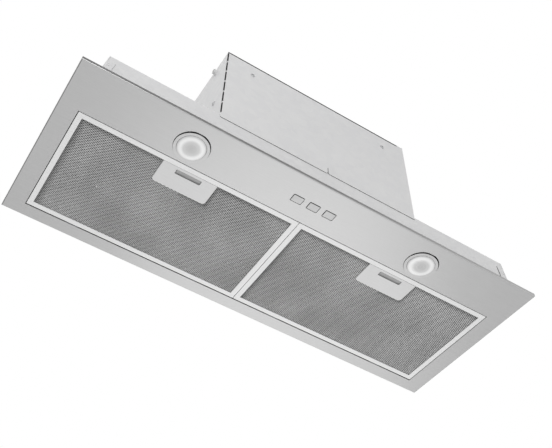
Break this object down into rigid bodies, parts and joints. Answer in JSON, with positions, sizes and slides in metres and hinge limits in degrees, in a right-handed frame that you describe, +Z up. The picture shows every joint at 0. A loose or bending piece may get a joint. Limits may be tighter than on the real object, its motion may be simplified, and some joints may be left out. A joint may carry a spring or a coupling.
{
  "type": "range hood insert",
  "caption": "Built-in range hood insert: brushed panel with mesh filters, lamps and push buttons under a shallow pan, fan box with blower, and round duct collar with damper.",
  "frame": {"origin": "centre of the plane of the face panel's rim, on which the hood hangs under the cabinet", "axes": "+Z up, +X to the right along the width, -Y towards the front with the lamps and the buttons"},
  "size_m": [0.72, 0.274, 0.278],
  "materials": {
    "panel_steel": "brushed stainless steel, grain along the width",
    "galvanised_sheet": "galvanised steel sheet, dull",
    "zinc_plated": "zinc plated steel, satin",
    "black_plastic": "moulded, fine texture",
    "grey_plastic": "moulded, metallic grey",
    "satin_aluminium": "satin",
    "mesh_aluminium": "expanded mesh",
    "spring_steel": "bright",
    "lamp_housing": "satin",
    "lamp_glass": "pressed, concentric rings",
    "white_ceramic": "unglazed",
    "wheel_aluminium": "mill finish",
    "motor_black": "satin black",
    "shaft_steel": "ground",
    "capacitor_plastic": "smooth"
  },
  "bodies": {
    "housing": {"face_panel": "panel_steel", "pan_front_wall": "galvanised_sheet", "pan_back_wall": "galvanised_sheet", "pan_left_end": "galvanised_sheet", "pan_right_end": "galvanised_sheet", "pan_deck": "galvanised_sheet", "box_front_cover": "galvanised_sheet", "box_left_side": "galvanised_sheet", "box_right_side": "galvanised_sheet", "box_back": "galvanised_sheet", "box_top": "galvanised_sheet", "cover_stiffener": "zinc_plated", "duct_collar": "black_plastic", "damper_rod": "shaft_steel", "blower_left_cheek": "galvanised_sheet", "blower_right_cheek": "galvanised_sheet", "blower_band": "galvanised_sheet", "motor": "motor_black", "motor_bracket": "zinc_plated", "run_capacitor": "capacitor_plastic", "junction_box": "black_plastic", "junction_cover": "black_plastic", "cable_gland": "black_plastic", "switch_bracket": "zinc_plated", "switch_bodies": "black_plastic", "filter_keepers": "zinc_plated", "case_screws": "zinc_plated", "corner_rivets": "satin_aluminium", "lamp_left_lens": "lamp_glass", "lamp_left_body": "lamp_housing", "lamp_left_socket": "white_ceramic", "lamp_left_strap": "zinc_plated", "lamp_right_lens": "lamp_glass", "lamp_right_body": "lamp_housing", "lamp_right_socket": "white_ceramic", "lamp_right_strap": "zinc_plated"},
    "impeller": {"impeller": "wheel_aluminium", "motor_shaft": "shaft_steel"},
    "damper_left": {"damper_flap_left": "black_plastic"},
    "damper_right": {"damper_flap_right": "black_plastic"},
    "button_lamp": {"button_lamp": "grey_plastic"},
    "button_slow": {"button_slow": "grey_plastic"},
    "button_fast": {"button_fast": "grey_plastic"},
    "filter_left": {"filter_left_frame": "satin_aluminium", "filter_left_mesh": "mesh_aluminium", "filter_left_tabs": "spring_steel", "latch_left_plate": "satin_aluminium", "latch_left_housing": "satin_aluminium", "latch_left_spring": "spring_steel"},
    "latch_left": {"latch_left_slider": "grey_plastic", "latch_left_leaf": "spring_steel"},
    "filter_right": {"filter_right_frame": "satin_aluminium", "filter_right_mesh": "mesh_aluminium", "filter_right_tabs": "spring_steel", "latch_right_plate": "satin_aluminium", "latch_right_housing": "satin_aluminium", "latch_right_spring": "spring_steel"},
    "latch_right": {"latch_right_slider": "grey_plastic", "latch_right_leaf": "spring_steel"}
  },
  "joints": [
    {"name": "impeller_spin", "type": "hinge", "parent": "housing", "child": "impeller", "pos_m": [0, -0.02829, 0.13546], "axis": [1, 0, 0], "continuous": true},
    {"name": "damper_left_lift", "type": "hinge", "parent": "housing", "child": "damper_left", "pos_m": [0, 0.0045, 0.2435], "axis": [0, 1, 0], "range_deg": [0, 75]},
    {"name": "damper_right_lift", "type": "hinge", "parent": "housing", "child": "damper_right", "pos_m": [0, 0.0045, 0.2435], "axis": [0, -1, 0], "range_deg": [0, 75]},
    {"name": "button_lamp_press", "type": "slide", "parent": "housing", "child": "button_lamp", "axis": [0, 0, 1], "range_m": [0, 0.0025], "stiffness_N_per_m": 400, "springref_m": -0.002},
    {"name": "button_slow_press", "type": "slide", "parent": "housing", "child": "button_slow", "axis": [0, 0, 1], "range_m": [0, 0.0025], "stiffness_N_per_m": 400, "springref_m": -0.002},
    {"name": "button_fast_press", "type": "slide", "parent": "housing", "child": "button_fast", "axis": [0, 0, 1], "range_m": [0, 0.0025], "stiffness_N_per_m": 400, "springref_m": -0.002},
    {"name": "filter_left_tilt", "type": "hinge", "parent": "housing", "child": "filter_left", "pos_m": [0, 0.116, -0.0031], "axis": [1, 0, 0], "range_deg": [0, 45], "deforming": ["latch_left_leaf"]},
    {"name": "latch_left_slide", "type": "slide", "parent": "filter_left", "child": "latch_left", "axis": [0, 1, 0], "range_m": [0, 0.0028], "stiffness_N_per_m": 400, "springref_m": -0.002, "deforming": ["latch_left_spring"]},
    {"name": "filter_right_tilt", "type": "hinge", "parent": "housing", "child": "filter_right", "pos_m": [0, 0.116, -0.0031], "axis": [1, 0, 0], "range_deg": [0, 45], "deforming": ["latch_right_leaf"]},
    {"name": "latch_right_slide", "type": "slide", "parent": "filter_right", "child": "latch_right", "axis": [0, 1, 0], "range_m": [0, 0.0028], "stiffness_N_per_m": 400, "springref_m": -0.002, "deforming": ["latch_right_spring"]}
  ]
}
